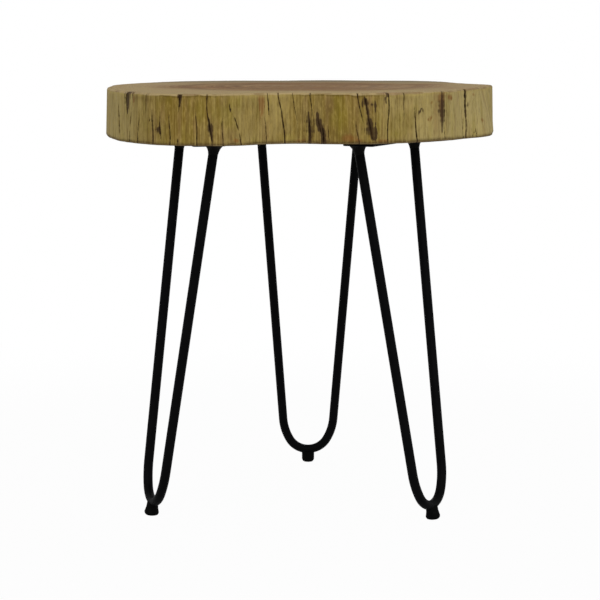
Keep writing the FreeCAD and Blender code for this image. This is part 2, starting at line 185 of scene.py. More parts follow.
# Reddish threads at the front, knots as above
FRONT_THREADS = (
    ((259, 91, 2.4), (260.2, 102, 2.4), (262, 118, 1.4), (262.8, 128, 0.6)),
    ((262, 91, 3.4), (262.8, 104, 3.6), (263.4, 114, 1.6)),
    ((133.6, 94, 1.2), (133.2, 101, 1), (132.6, 108, 0.4)),
    ((429, 112, 0.8), (428.6, 119, 1.4), (429.6, 125, 0.6)),
    ((431.6, 110, 0.6), (431.8, 117, 1.2), (431, 122, 0.6)),
    ((448.4, 94, 0.5), (448.8, 98, 0.9), (448.6, 103, 0.3)),
    ((451.2, 93, 0.6), (451.6, 98, 0.9), (451.4, 104, 0.4)),
    ((442, 91, 6), (442, 98, 6), (442.2, 108, 4), (442.4, 120, 2)),
    ((272, 91, 1.6), (273.6, 102, 1.2), (275, 114, 0.5)),
    ((485.2, 116, 0.3), (485.4, 121, 0.6), (485.4, 126, 0.3)),
    ((343.8, 140.6, 1), (346.4, 137.4, 1.6), (349.6, 134.2, 0.8)),
    ((350.2, 134, 0.8), (353.2, 135.6, 1.4), (356, 138.6, 0.8)),
)

# Clouds at the front, each a photograph column and row, half width in columns and half height.
# First the reddish ones, then the yellow-green ones, then smoky wood round the marks
FRONT_BLUSH = (
    (349.6, 137.4, 8.5, 4.4), (358, 139.6, 6, 2), (384, 139.6, 8, 2.2), (428, 92, 11, 1.4),
    (443, 93, 4, 2.4), (450.4, 97, 3, 3.4), (430.6, 118.6, 1.4, 3), (300, 140.6, 6, 2),
    (236.6, 139.4, 3, 2), (483, 119, 1.6, 2.4), (347, 95, 4, 1.4), (432, 103, 1.4, 1.4),
    (474, 94, 1.4, 1.6),
)
FRONT_LIMES = (
    (237, 101, 5, 6), (396.4, 132.6, 8, 4), (288, 137, 9, 4), (302, 132, 6, 5), (160, 98, 5, 5),
    (340, 114, 12, 10),
)
FRONT_SMOKES = (
    (329, 108, 6.5, 12), (303.4, 112, 5, 12), (314, 115, 5, 9), (260.4, 102, 4.4, 13), (371, 113, 4, 9),
    (156, 125, 4, 6), (228, 138, 9, 9), (306, 142, 6, 6), (322, 143, 8, 7), (356, 143, 9, 5),
    (380, 143, 10, 5), (398, 142, 7, 4), (402, 95, 7, 6), (348, 138, 10, 6), (262.6, 103, 2.4, 11),
    (320, 126, 7, 9), (160, 97, 6, 6), (302, 132, 5, 6), (340, 143, 8, 4), (142, 96, 12, 4),
)

# How pale the wood is along the front: photograph column, and a share from deep ochre to straw
FRONT_TONES = (
    (108, 0.82), (120, 0.75), (140, 0.5), (165, 0.2), (185, 0.07), (210, 0.2), (226, 0.35), (244, 0.52),
    (260, 0.45), (285, 0.48), (302, 0.25), (340, 0.04), (362, 0.16), (388, 0.32), (405, 0.52),
    (420, 0.7), (440, 0.85), (455, 1.1), (470, 1.25), (490, 1.5),
)
TONE_ROW = 118  # the row at which those columns are read

# The same kinds of marks round the back, which the photograph doesn't show: how many, and lines' widths
BACK_BEARINGS = (math.radians(6), math.radians(166))
BACK_CHECKS = (26, (0.6, 1.9))
BACK_STREAKS = (12, (2.0, 6.0))
BACK_THREADS = (10, (1.0, 2.6))
BACK_BLUSH = 10
BACK_LIMES = 5
BACK_SMOKES = 7
BACK_TONES = 9
BACK_TONE_PLACES = (0.1, 0.9)  # shares of the back between which those tones stand
BACK_TONE_SHARES = (0.1, 0.8)
BACK_CLOUD_WIDTHS = (3.0, 11.0)
BACK_CLOUD_HEIGHTS = (2.0, 9.0)
BACK_SPACING = (0.1, 0.9)  # where a line stands in its own share of the back
BACK_ENDS = (-0.5, 1.5)  # shares of the wall's height between which a line's ends are drawn
BACK_END_RISE = 0.2  # its upper end is then set this much higher
BACK_END_LIMITS = (-0.1, 1.1)
BACK_END_WIDTHS = (0.3, 1.0)  # in widths of its widest place
BACK_LEAN = 2.0  # usual distance along the edge between its foot and its head
WOOD_SEED = 11

# Star of checks at the pith: bearing in degrees, start and end from the pith, width
PITH_CHECKS = ((24, 3, 42, 1.5), (104, 2, 31, 1.2), (171, 3, 48, 1.4), (236, 2, 26, 1.0), (307, 3, 37, 1.3))
PITH_CHECK_DEPTH = 2.0
PITH_CHECK_WANDER = 1.6
PITH_CHECK_BEND = 9.0  # millimetres to a radian of that wander
PITH_CHECK_SECTOR = TURN / 6  # a check stays this near to its bearing

# Patterns in the wood, as noise: cells to a metre along x, along y and up the trunk
FIBRE_CELLS = (620, 620, 26)
BRUSH_CELLS = (640, 640, 12)
STREAK_CELLS = (230, 230, 8)
MOTTLE_CELLS = (420, 420, 150)
ROSY_CELLS = (95, 95, 13)
OLIVE_CELLS = (60, 60, 22)
CLOUD_CELLS = (34, 34, 17)
RAY_CELLS = (150, 150, 1)  # on a direction of length 1

# Growth rings, by the depth in from the edge
RING_SPAN = 205.0  # depth at the pith
BAND_WANDER = 26.0  # how far the broad bands stray
RING_WANDER = 5.0  # how far the fine rings stray
BAND_SCALE = 0.06  # their cells to a millimetre
RING_SCALE = 0.7
GREY_BACK = (0.07, 0.17)  # metres behind the middle over which the sapwood turns grey

# Patches in the sawn top, reddish and pale: x, y, half width, half depth
TOP_EMBERS = ((-43, 92, 48, 17), (60, 58, 34, 12), (140, 66, 18, 22), (-98, -20, 34, 14), (20, -40, 40, 12))
TOP_ASHES = ((150, -8, 28, 16), (-150, 40, 26, 34), (96, -8, 46, 60), (-30, 30, 60, 10))

# Colours as they show on a screen, 0 to 255: the wall, then the sawn faces, then marks and checks
DEEP_OCHRE = (116, 93, 30)
STRAW = (182, 164, 108)
ROSY = (146, 118, 78)
OLIVE = (126, 113, 36)
LIME = (146, 132, 44)
SMOKE = (92, 69, 36)
DARK_STREAK = (100, 77, 30)
DARK_MOTTLE = (98, 76, 30)
PALE_MOTTLE = (180, 156, 86)
BLUSH = (130, 86, 40)
THREAD = (112, 66, 30)
# Painted shade in dark flecks under the top edge, and a painted highlight line along it
LIP_PAINTED_SHADE = (84, 66, 24)
LIP_PAINTED_HIGHLIGHT = (176, 156, 92)
# Painted shade along the foot of the wall, above its rounded bottom edge
SOLE_PAINTED_SHADE = (66, 50, 26)
PALE_FIBRE = (182, 160, 96)
DARK_FIBRE = (88, 68, 28)
SAPWOOD = (168, 147, 104)
SAPWOOD_RING = (142, 122, 82)
SAPWOOD_BLOOM = (158, 122, 94)
SAPWOOD_GREY = (112, 101, 78)
HEARTWOOD = (144, 114, 74)
HEARTWOOD_BAND = (106, 77, 46)
HEARTWOOD_RING = (88, 60, 36)
ASH = (154, 130, 100)
EMBER = (116, 76, 46)
RAY = (160, 134, 96)
PORE = (78, 56, 34)
# Painted shade on the underside and its rounded bottom edge
UNDERSIDE_PAINTED_SHADE = (66, 50, 28)
MARK = (58, 42, 28)
# Painted shade inside the checks, over their brown fibres
CHECK_PAINTED_SHADE = (40, 28, 15)
CHECK_SHADED_FIBRE = (74, 54, 32)
# Each of these finishes varies between two colours
COAT_BLACKS = ((5, 5, 6), (9, 9, 10))
WELD_BLACKS = ((9, 9, 9), (18, 17, 16))
SCREW_BLACKS = ((26, 26, 28), (44, 38, 34))
STEEL_GREYS = ((120, 118, 114), (158, 156, 152))
RUBBER_BLACKS = ((7, 7, 7), (14, 14, 13))

# Heights of the finishes' fine relief, in metres
WOOD_RELIEF = 0.0004
COAT_RELIEF = 0.00004
WELD_RELIEF = 0.00012
STEEL_RELIEF = 0.00003
RUBBER_RELIEF = 0.00008

# Welds between the rods and the plates
ROD_RADIUS = 5.0
WELD_TOE = 5.0
WELD_DROP = 9.5
WELD_HOLLOW = 0.62  # how far the bead's curve is drawn into its corner
WELD_RIPPLES = 21
WELD_RIPPLE_HEIGHT = 0.26
WELD_RIPPLE_LEAN = 0.35
WELD_COLUMNS = 132
WELD_ROWS = 14
WELD_SUNK = 0.8  # the bead's hidden back lies this far inside the rod

# Studio, in metres: each lamp's place, size and power
KEY_LAMP = ((-1.2, -2.6, 1.9), 1.8, 34)
FILL_LAMP = ((1.5, -2.5, 1.4), 1.8, 28)
TOP_LAMP = ((0.2, 0.3, 2.6), 2.0, 8)
LAMP_AIM = (0, 0, 0.4)
SKY_LEVEL = 0.42
WHITE = (1.0, 1.0, 1.0, 1.0)
FLOOR_COLOUR = (0.55, 0.55, 0.55, 1.0)
FLOOR_HALF = 9.0
FLOOR_WHITE = 0.97  # share of the floor that is plain white to the camera, the rest shows shadows
FLOOR_FADE = (0.45, 1.1)  # distances over which the floor turns to plain white


def srgb(red, green, blue):
    """A colour given as it shows on a screen, 0 to 255, in the renderer's linear light."""
    shares = np.array([red, green, blue]) / 255
    light = np.where(shares > 0.04045, ((shares + 0.055) / 1.055) ** 2.4, shares / 12.92)
    return (*light.tolist(), 1.0)


# Shader maths

# Places of the factor, the colours and the result among a mix node's sockets
MIX_FACTOR = 0
MIX_FIRST = 6
MIX_SECOND = 7
MIX_RESULT = 2


class Socket:
    """A shader node's output. Arithmetic on it adds Math nodes to its tree, node() adds any other node."""

    def __init__(self, tree, output=None):
        self.tree = tree
        self.output = output

    def node(self, kind, settings=None, inputs=None, output=0):
        """Adds a node: first its settings, then each input's value or link."""
        made = self.tree.nodes.new(kind)
        for key, value in (settings or {}).items():
            setattr(made, key, value)
        for key, value in (inputs or {}).items():
            if isinstance(value, Socket):
                self.tree.links.new(value.output, made.inputs[key])
            else:
                made.inputs[key].default_value = value
        return Socket(self.tree, made.outputs[output])

    def math(self, operation, first, second):
        return self.node("ShaderNodeMath", {"operation": operation}, {0: first, 1: second})

    def __add__(self, other):
        return self.math("ADD", self, other)

    def __sub__(self, other):
        return self.math("SUBTRACT", self, other)

    def __rsub__(self, other):
        return self.math("SUBTRACT", other, self)

    def __mul__(self, other):
        return self.math("MULTIPLY", self, other)

    def larger(self, other):
        return self.math("MAXIMUM", self, other)

    __radd__ = __add__
    __rmul__ = __mul__


def stretched(coords, scale):
    """Coordinates scaled along each axis, so that a pattern can run with the grain."""
    return coords.node("ShaderNodeMapping", {}, {"Vector": coords, "Scale": scale})


def noise(coords, scale, detail=3.0, roughness=0.55):
    """Smooth noise about 0.5. Scale counts its cells to a metre along each axis."""
    sizes = {"Vector": stretched(coords, scale), "Scale": 1.0, "Detail": detail, "Roughness": roughness}
    return coords.node("ShaderNodeTexNoise", {}, sizes)


def swing(value, reach):
    """Noise moved to go up and down about 0, and scaled to a reach."""
    return reach * (value - 0.5)


def rise(value, low, high):
    """0 below low, 1 above high, and a smooth step between them."""
    return value.node("ShaderNodeMapRange", {"interpolation_type": "SMOOTHSTEP"},
                      {"Value": value, "From Min": low, "From Max": high})


def blend(factor, first, second):
    """Two colours mixed by a factor, each a socket or a colour as it shows on a screen."""
    first, second = (shade if isinstance(shade, Socket) else srgb(*shade) for shade in (first, second))
    mixed = {MIX_FACTOR: factor, MIX_FIRST: first, MIX_SECOND: second}
    return factor.node("ShaderNodeMix", {"data_type": "RGBA"}, mixed, output=MIX_RESULT)


def layered(colour, *layers):
    """A colour with layers over it, each a factor, its strength and the colour that it brings."""
    for factor, strength, shade in layers:
        colour = blend(factor * strength, colour, shade)
    return colour


def attribute(start, name, output="Fac"):
    """A value that the mesh carries at its vertices."""
    return start.node("ShaderNodeAttribute", {"attribute_name": name}, output=output)


def bump(height, distance):
    """A normal from a height in shares of a distance in metres."""
    return height.node("ShaderNodeBump", {}, {"Height": height, "Strength": 1.0, "Distance": distance})


def new_finish(name, constants, build):
    """A material: build gives the sockets that vary over the surface, and the rest are set as constants."""
    material = bpy.data.materials.new(name)
    material.use_nodes = True
    surface = material.node_tree.nodes["Principled BSDF"]
    for key, value in constants.items():
        surface.inputs[key].default_value = value
    start = Socket(material.node_tree)
    coords = start.node("ShaderNodeTexCoord", output="Object")
    for key, value in build(coords).items():
        material.node_tree.links.new(value.output, surface.inputs[key])
    return material


# Finishes


def wood(coords):
    """Sapwood streaked along the trunk on the wall, growth rings on the sawn faces, painted shade in the
    checks in both, and painted shade on the underside.
    """
    trunk = attribute(coords, "trunk", "Vector")
    facing = attribute(coords, "facing")
    check = attribute(coords, "check")
    stain = attribute(coords, "streak")
    fibre = noise(trunk, FIBRE_CELLS, 4.0, 0.65)
    streak = noise(trunk, STREAK_CELLS, 4.0, 0.6)
    brush = noise(trunk, BRUSH_CELLS, 3.0, 0.6)
    cloud = noise(trunk, CLOUD_CELLS)
    end_grain = rise(facing.larger(0 - facing), 0.1, 0.6)
    # painted shade where the slab faces down
    underside = rise(0 - facing, 0.1, 0.9)
    mark = rise(stain + swing(brush, 2.3) + swing(fibre, 0.8), 0.28, 0.76) * rise(stain, 0.04, 0.3)
    # painted shade in the checks
    painted_check_shade = rise(check + swing(fibre, 0.5), 0.15, 0.75)
    inside = blend(rise(fibre, 0.4, 0.65), CHECK_PAINTED_SHADE, CHECK_SHADED_FIBRE)
    colour = layered(
        blend(end_grain, wall_colour(trunk, fibre, streak, cloud), sawn_colour(coords, fibre, cloud)),
        (underside, 0.75, UNDERSIDE_PAINTED_SHADE),
        (mark, 0.9, MARK),
        (painted_check_shade, 1.0, inside),
    )
    roughness = 0.7 + swing(fibre, 0.2) + 0.15 * check
    height = 0.5 * fibre + 0.3 * streak
    return {"Base Color": colour, "Roughness": roughness, "Normal": bump(height, WOOD_RELIEF)}


def wall_colour(trunk, fibre, streak, cloud):
    """Sapwood between deep ochre and pale straw, in tall clouds and fine streaks, some of them rosy and some
    olive, with reddish threads, yellow-green and smoky clouds, painted shade in dark flecks and a painted
    highlight line by the top edge, and painted shade along the foot."""
    pale = attribute(trunk, "tone")
    lip_painted_light = attribute(trunk, "lip_painted_light")
    mottle = noise(trunk, MOTTLE_CELLS)
    tone = pale + swing(cloud, 0.9) + swing(streak, 0.8)
    blush = attribute(trunk, "blush") + swing(fibre, 0.8) + swing(streak, 0.7)
    thread = attribute(trunk, "thread") + swing(fibre, 1.2)
    # painted shade in dark flecks under the top edge, where the wood is deep
    lip_shade_flecks = rise(lip_painted_light * (0.2 + 1.6 * mottle) * (0.2 + 1.6 * streak), 0.5, 0.95) * (1 - rise(pale, 0.15, 0.6))
    return layered(
        blend(rise(tone, -0.2, 1.2), DEEP_OCHRE, STRAW),
        (rise(noise(trunk, ROSY_CELLS), 0.5, 0.7), 0.5, ROSY),
        (rise(noise(trunk, OLIVE_CELLS), 0.5, 0.7), 0.4, OLIVE),
        (attribute(trunk, "lime"), 0.3, LIME),
        (attribute(trunk, "smoke"), 0.2 + 0.6 * streak, SMOKE),
        (rise(streak, 0.52, 0.72), 0.5, DARK_STREAK),
        (rise(mottle, 0.48, 0.72), 0.35, DARK_MOTTLE),
        (rise(1 - mottle, 0.48, 0.72), 0.35, PALE_MOTTLE),
        (rise(blush, 0.15, 0.95), 0.7, BLUSH),
        (rise(thread, 0.3, 0.8), 0.7, THREAD),
        # painted shade and a painted highlight under the top edge
        (lip_shade_flecks, 0.6, LIP_PAINTED_SHADE),
        (lip_painted_light * rise(pale, 0.1, 0.6), 0.45, LIP_PAINTED_HIGHLIGHT),
        # painted shade along the foot of the wall
        (attribute(trunk, "sole_painted_shade"), 0.75, SOLE_PAINTED_SHADE),
        (rise(1 - fibre, 0.5, 0.72), 0.4, PALE_FIBRE),
        (rise(fibre, 0.5, 0.7), 0.5, DARK_FIBRE),
    )


def sawn_colour(coords, fibre, cloud):
    """Pale sapwood, greyer towards the back, round an oval of brown heartwood, with uneven growth rings, fine
    rays and pores."""
    depth = (1 - attribute(coords, "ring")) * RING_SPAN
    band = depth_noise(depth + swing(cloud, BAND_WANDER), BAND_SCALE, 4.0, 0.65)
    ring = depth_noise(depth + swing(cloud, RING_WANDER), RING_SCALE, 2.0, 0.5)
    backward = coords.node("ShaderNodeSeparateXYZ", {}, {"Vector": coords}, output="Y")
    heart = rise(1 - attribute(coords, "heart") + swing(cloud, 0.3), -0.1, 0.22)
    sap = layered(
        blend(rise(ring, 0.4, 0.7), SAPWOOD, SAPWOOD_RING),
        (rise(cloud, 0.5, 0.66), 0.25, SAPWOOD_BLOOM),
        (rise(backward, *GREY_BACK), 0.85, SAPWOOD_GREY),
    )
    core = layered(
        blend(rise(band, 0.36, 0.66), HEARTWOOD, HEARTWOOD_BAND),
        (rise(ring, 0.5, 0.72), 0.5, HEARTWOOD_RING),
    )
    return layered(
        blend(heart, sap, core),
        (attribute(coords, "ash"), 0.4, ASH),
        (attribute(coords, "ember"), 0.7, EMBER),
        (rise(rays(coords), 0.52, 0.75), 0.25, RAY),
        (rise(fibre, 0.52, 0.74), 0.4, PORE),
    )


def depth_noise(depth, scale, detail, roughness):
    """Smooth noise about 0.5 that changes with the depth alone. Scale counts its cells to a millimetre."""
    sizes = {"W": depth, "Scale": scale, "Detail": detail, "Roughness": roughness}
    return depth.node("ShaderNodeTexNoise", {"noise_dimensions": "1D"}, sizes)


def rays(coords):
    """Fine lines that run straight out from the pith: noise on the direction from it."""
    centre = (*(PITH * MM).tolist(), 0.0)
    flat = coords.node("ShaderNodeVectorMath", {"operation": "MULTIPLY"}, {0: coords, 1: (1.0, 1.0, 0.0)})
    from_pith = coords.node("ShaderNodeVectorMath", {"operation": "SUBTRACT"}, {0: flat, 1: centre})
    direction = coords.node("ShaderNodeVectorMath", {"operation": "NORMALIZE"}, {0: from_pith})
    return noise(direction, RAY_CELLS)


def plain(factor, colours, roughness, height, relief):
    """A finish of one material: two colours mixed by a factor, a roughness and a fine relief."""
    return {"Base Color": blend(factor, *colours), "Roughness": roughness, "Normal": bump(height, relief)}


def powder_coat(coords):
    """Satin black powder coat: a fine orange peel, and a sheen that drifts a little."""
    drift = noise(coords, (45, 45, 45))
    peel = noise(coords, (620, 620, 620), 2.0)
    return plain(rise(drift, 0.3, 0.7), COAT_BLACKS, 0.45 + 0.16 * drift, peel, COAT_RELIEF)


def painted_weld(coords):
    """Black paint over a weld's scale and small spatter."""
    scale = noise(coords, (900, 900, 900), 4.0)
    return plain(rise(scale, 0.35, 0.7), WELD_BLACKS, 0.4 + 0.3 * scale, scale, WELD_RELIEF)


def black_screw(coords):
    """Blackened steel with a faint brown bloom."""
    bloom = noise(coords, (300, 300, 300))
    return plain(rise(bloom, 0.35, 0.7), SCREW_BLACKS, 0.38 + 0.25 * bloom, bloom, STEEL_RELIEF)


def bare_steel(coords):
    """Bare steel with an upright brushed grain."""
    grain = noise(coords, (900, 900, 120))
    return plain(rise(grain, 0.3, 0.7), STEEL_GREYS, 0.34 + 0.2 * grain, grain, STEEL_RELIEF)


def rubber(coords):
    """Matt moulded rubber with a fine grain and a little dust."""
    grain = noise(coords, (1400, 1400, 1400))
    dust = noise(coords, (160, 160, 160), 4.0)
    return plain(rise(dust, 0.45, 0.75), RUBBER_BLACKS, 0.72 + 0.2 * grain, grain, RUBBER_RELIEF)


# Meshes


def new_piece(name, points, faces, finish, node):
    """A smooth mesh object of points in millimetres, which rides on the body and stands for a CAD node."""
    mesh = bpy.data.meshes.new(name)
    mesh.from_pydata((points * MM).tolist(), [], faces)
    mesh.polygons.foreach_set("use_smooth", np.ones(len(mesh.polygons), dtype=bool))
    mesh.materials.append(finish)
    piece = bpy.data.objects.new(name, mesh)
    bpy.context.scene.collection.objects.link(piece)
    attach(piece, BODY)
    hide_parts(node)
    return piece


def carry(piece, name, values):
    """Gives every vertex of a piece its value, or its x, y and z, of an attribute that the finish reads."""
    kind, key = ("FLOAT_VECTOR", "vector") if values.ndim == 2 else ("FLOAT", "value")
    held = piece.data.attributes.new(name, kind, "POINT")
    held.data.foreach_set(key, values.astype(np.float32).ravel())


def grid_faces(rows, columns, loop=False):
    """Quads of a grid whose last column joins its first, and in a loop its last row joins its first too."""
    row = np.arange(rows if loop else rows - 1)[:, None]
    column = np.arange(columns)
    ahead = (column + 1) % columns
    above = (row + 1) % rows
    low, high = row * columns, above * columns
    corners = [low + column, low + ahead, high + ahead, high + column]
    return np.stack(corners, axis=-1).reshape(-1, 4)


def fan_faces(ring, pole):
    """Triangles from a closed ring of points to one pole."""
    return np.stack([np.roll(ring, -1), ring, np.full_like(ring, pole)], axis=-1)


def node_points(name):
    """A CAD node's vertices as rows of x, y and z, each once."""
    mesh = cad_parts[name].data
    points = np.empty(len(mesh.vertices) * 3)
    mesh.vertices.foreach_get("co", points)
    return np.unique(np.round(points.reshape(-1, 3) / MM, 4), axis=0)


def in_photo(points):
    """The photograph's columns and rows at which points show: a pinhole camera along +Y, pitched down."""
    away = points - CAMERA_PLACE
    cosine, sine = math.cos(CAMERA_PITCH), math.sin(CAMERA_PITCH)
    depth = away[..., 1] * cosine - away[..., 2] * sine
    up = away[..., 1] * sine + away[..., 2] * cosine
    return PHOTO_SIZE / 2 + FOCAL_PIXELS * away[..., 0] / depth, PHOTO_SIZE / 2 - FOCAL_PIXELS * up / depth


# Slab


class LiveEdge:
    """The slab's outline, read from the CAD slab. Its radius is a series of waves of the bearing."""

    def __init__(self):
        points = node_points("slab")
        self.low = points[:, 2].min()
        self.high = points[:, 2].max()
        self.wall_low = self.low + LOW_RING
        self.wall_high = self.high - HIGH_RING
        self.foot = self.fit(points, self.wall_low)
        self.head = self.fit(points, self.wall_high)
        self.bearing = EDGE_START + np.linspace(0, TURN, EDGE_SAMPLES)
        steps = np.diff(self.place(self.bearing, 0.5), axis=0)
        self.arc = np.concatenate([[0.0], np.cumsum(np.hypot(steps[:, 0], steps[:, 1]))])
        self.girth = self.arc[-1]

    def waves(self, bearing):
        """The series' cosines and sines at bearings."""
        turns = np.multiply.outer(bearing, np.arange(EDGE_WAVES + 1))
        return np.concatenate([np.cos(turns), np.sin(turns[..., 1:])], axis=-1)

    def fit(self, points, height):
        """The series nearest to the CAD vertices at a height."""
        ring = points[np.abs(points[:, 2] - height) < RING_TOLERANCE]
        radius = np.hypot(ring[:, 0], ring[:, 1])
        return np.linalg.lstsq(self.waves(np.arctan2(ring[:, 1], ring[:, 0])), radius, rcond=None)[0]

    def place(self, bearing, share):
        """x and y on the wall at bearings, at a share of its height."""
        waves = self.waves(bearing)
        radius = (1 - share) * (waves @ self.foot) + share * (waves @ self.head)
        radius = radius + SHOULDER_RISE * np.exp(-(((bearing - SHOULDER_BEARING) / SHOULDER_SPREAD) ** 2))
        return np.stack([radius * np.cos(bearing), radius * np.sin(bearing)], axis=-1)

    def shown(self, bearing, share):
        """Photograph columns and rows of the wall at bearings, at a share of its height."""
        height = self.wall_low + share * (self.wall_high - self.wall_low)
        return in_photo(np.column_stack([self.place(bearing, share), np.full(len(bearing), height)]))

    def front(self):
        """The part of the wall that the photograph shows: distances along it, and the columns and rows of its
        foot and of its head."""
        seen_part = np.abs(self.bearing + TURN / 4) < SEEN_HALF_TURN
        bearing = self.bearing[seen_part]
        return self.arc[seen_part], *self.shown(bearing, 0.0), *self.shown(bearing, 1.0)

    def find(self, columns, rows):
        """Where the wall shows at photograph columns and rows, closer each round: distances along the edge,
        shares of its height, and millimetres of edge to a column."""
        arc, foot_columns, foot_rows, head_columns, head_rows = self.front()
        found = []
        for column, row in zip(columns, rows):
            share = 0.5
            for _ in range(FIND_ROUNDS):
                across = np.maximum.accumulate(foot_columns + share * (head_columns - foot_columns))
                across += HAIR * np.arange(len(across))
                foot = np.interp(column, across, foot_rows)
                share = (foot - row) / (foot - np.interp(column, across, head_rows))
            stretch = np.interp(column, across, np.gradient(arc, across))
            found.append([np.interp(column, across, arc), share, stretch])
        along, share, stretch = np.array(found).T
        return along, share, np.minimum(stretch, STRETCH_LIMIT)

    def lean(self, along):
        """How far along the edge an upright line passes from the wall's foot to its head, at distances along
        it: what the camera shows at the front, fading to none where the wall turns away."""
        arc, foot_columns, _, head_columns, _ = self.front()
        columns = np.maximum.accumulate(foot_columns + head_columns) / 2 + HAIR * np.arange(len(arc))
        stretch = np.gradient(arc, columns)
        turned = np.abs(np.interp(arc, self.arc, self.bearing) + TURN / 4)
        fade = np.clip((SEEN_HALF_TURN - turned) / UPRIGHT_FADE, 0, 1)
        shift = (foot_columns - head_columns) * np.minimum(stretch, STRETCH_LIMIT) * fade
        return np.interp(along, arc, shift, left=0, right=0)

    def behind(self):
        """The hidden part of the wall, as two distances along the edge. The second may pass the seam."""
        bearings = np.concatenate([self.bearing, self.bearing + TURN])
        return np.interp(BACK_BEARINGS, bearings, np.concatenate([self.arc, self.arc + self.girth]))


class Line:
    """A line up the wall: its place along the edge and its width, against the share of the wall's height."""

    def __init__(self, arc, share, width, rng):
        order = np.argsort(share)
        arc, share, width = arc[order], share[order], width[order]
        self.phase = rng.uniform(0, TURN)
        self.below = width[0] if share[0] < EDGE_REACH else 0.0
        self.above = width[-1] if share[-1] > 1 - EDGE_REACH else 0.0
        self.arc = np.concatenate([arc[:1], arc, arc[-1:]])
        self.share = np.concatenate([share[:1] - END_TAPER, share, share[-1:] + END_TAPER])
        self.width = np.concatenate([[self.below], width, [self.above]])

    def across(self, grid):
        """The distance from the line, and the line's half width, at each point of the slab's grid."""
        sway = self.phase + LINE_BENDS * grid["share"] + grid["run_in"] / LINE_WANDER_LENGTH
        middle = np.interp(grid["share"], self.share, self.arc) + LINE_WANDER * np.sin(sway)
        width = np.interp(grid["share"], self.share, self.width)
        end = min(max(self.below, self.above, HAIR) * CHECK_RUN_IN, RUN_IN_LIMIT)
        ragged = 1 + RAGGED * sum(np.sin(bends * (grid["share"] + self.phase)) for bends in RAGGED_BENDS)
        half = np.maximum(width / 2 * ragged * np.clip(1 - grid["run_in"] / end, 0, 1), HAIR)
        away = (grid["arc"] - middle + grid["girth"] / 2) % grid["girth"] - grid["girth"] / 2
        return np.abs(away) * grid["ring"], half


def front_lines(edge, table, rng):
    """The lines whose knots were read off the photograph."""
    lines = []
    for knots in table:
        columns, rows, widths = np.array(knots, dtype=float).T
        arc, share, stretch = edge.find(columns, rows)
        lines.append(Line(arc, share, widths * stretch, rng))
    return lines


def back_lines(edge, count, widths, rng):
    """Lines spread unevenly round the back, each with two random heights, a lean and a widest place."""
    start, end = edge.behind()
    lines = []
    for place in start + (end - start) * (np.arange(count) + rng.uniform(*BACK_SPACING, count)) / count:
        low, high = np.sort(rng.uniform(*BACK_ENDS, 2))
        share = np.clip([low, rng.uniform(low, high), high + BACK_END_RISE], *BACK_END_LIMITS)
        arc = place % edge.girth + rng.normal(0, BACK_LEAN) * (share - 0.5)
        widest = rng.uniform(*widths)
        width = widest * np.array([rng.uniform(*BACK_END_WIDTHS), 1, rng.uniform(*BACK_END_WIDTHS)])
        lines.append(Line(arc, share, width, rng))
    return lines


def crowded_columns(edge, lines):
    """Distances along the edge of the mesh's columns, which crowd together next to the lines."""
    density = np.full(EDGE_SAMPLES, 1 / COLUMN_SPACING)
    for line in lines:
        middle = (line.arc.min() + line.arc.max()) / 2
        reach = CROWD_REACH + (line.arc.max() - line.arc.min()) / 2
        crowd = np.exp(-(((edge.arc - middle) / reach) ** CROWD_POWER))
        density = np.maximum(density, crowd / CROWDED_SPACING)
    steps = (density[1:] + density[:-1]) / 2 * np.diff(edge.arc)
    count = np.concatenate([[0.0], np.cumsum(steps)])
    return np.interp(np.linspace(0, count[-1], int(count[-1]), endpoint=False), count, edge.arc)


def ripples(turns, cycles, rng):
    """A random wave round the edge, about one high: cosines of whole cycles, lower the finer they are."""
    counts = np.arange(*cycles)
    sizes = counts ** -RIPPLE_FALL
    waves = np.cos(TURN * np.multiply.outer(turns, counts) + rng.uniform(0, TURN, len(counts)))
    return waves @ sizes / np.sqrt(2 * (sizes ** 2).sum())


def slab_rows(edge, arc, rng):
    """The slab's skin as rows from the middle of the underside, up the wall, to the middle of the top. Each
    row has its share of the wall's height, its growth ring and the way that it faces: out, up or between."""
    turns = arc / edge.girth
    low_round = BOTTOM_EDGE_ROUND * (1 + ROUND_WANDER * ripples(turns, ROUND_CYCLES, rng))
    high_round = TOP_EDGE_ROUND * (1 + ROUND_WANDER * ripples(turns, ROUND_CYCLES, rng))
    quarter = np.linspace(0, TURN / 4, ROUND_ROWS)
    climb = np.linspace(0, 1, WALL_ROWS)[1:-1]
    under, top = np.array(UNDERSIDE_RINGS), np.array(TOP_RINGS)
    share = np.concatenate([0 * under, 0 * quarter, climb, 1 + 0 * quarter, 1 + 0 * top])[:, None]
    ring = np.concatenate([under, 1 + 0 * quarter, 1 + 0 * climb, 1 + 0 * quarter, top])[:, None]
    tilt = np.concatenate([0 * under - TURN / 4, quarter - TURN / 4, 0 * climb, quarter, 0 * top + TURN / 4])
    out, up = np.cos(tilt)[:, None], np.sin(tilt)[:, None]
    inset = np.where(up < 0, low_round, high_round) * (1 - out)
    wall = (edge.low + low_round) * (1 - share) + (edge.high - high_round) * share
    height = wall + np.where(up < 0, low_round, high_round) * up
    share = share * np.ones_like(height)
    return {"arc": arc, "girth": edge.girth, "share": share, "ring": ring, "out": out, "up": up,
            "inset": inset, "height": height}


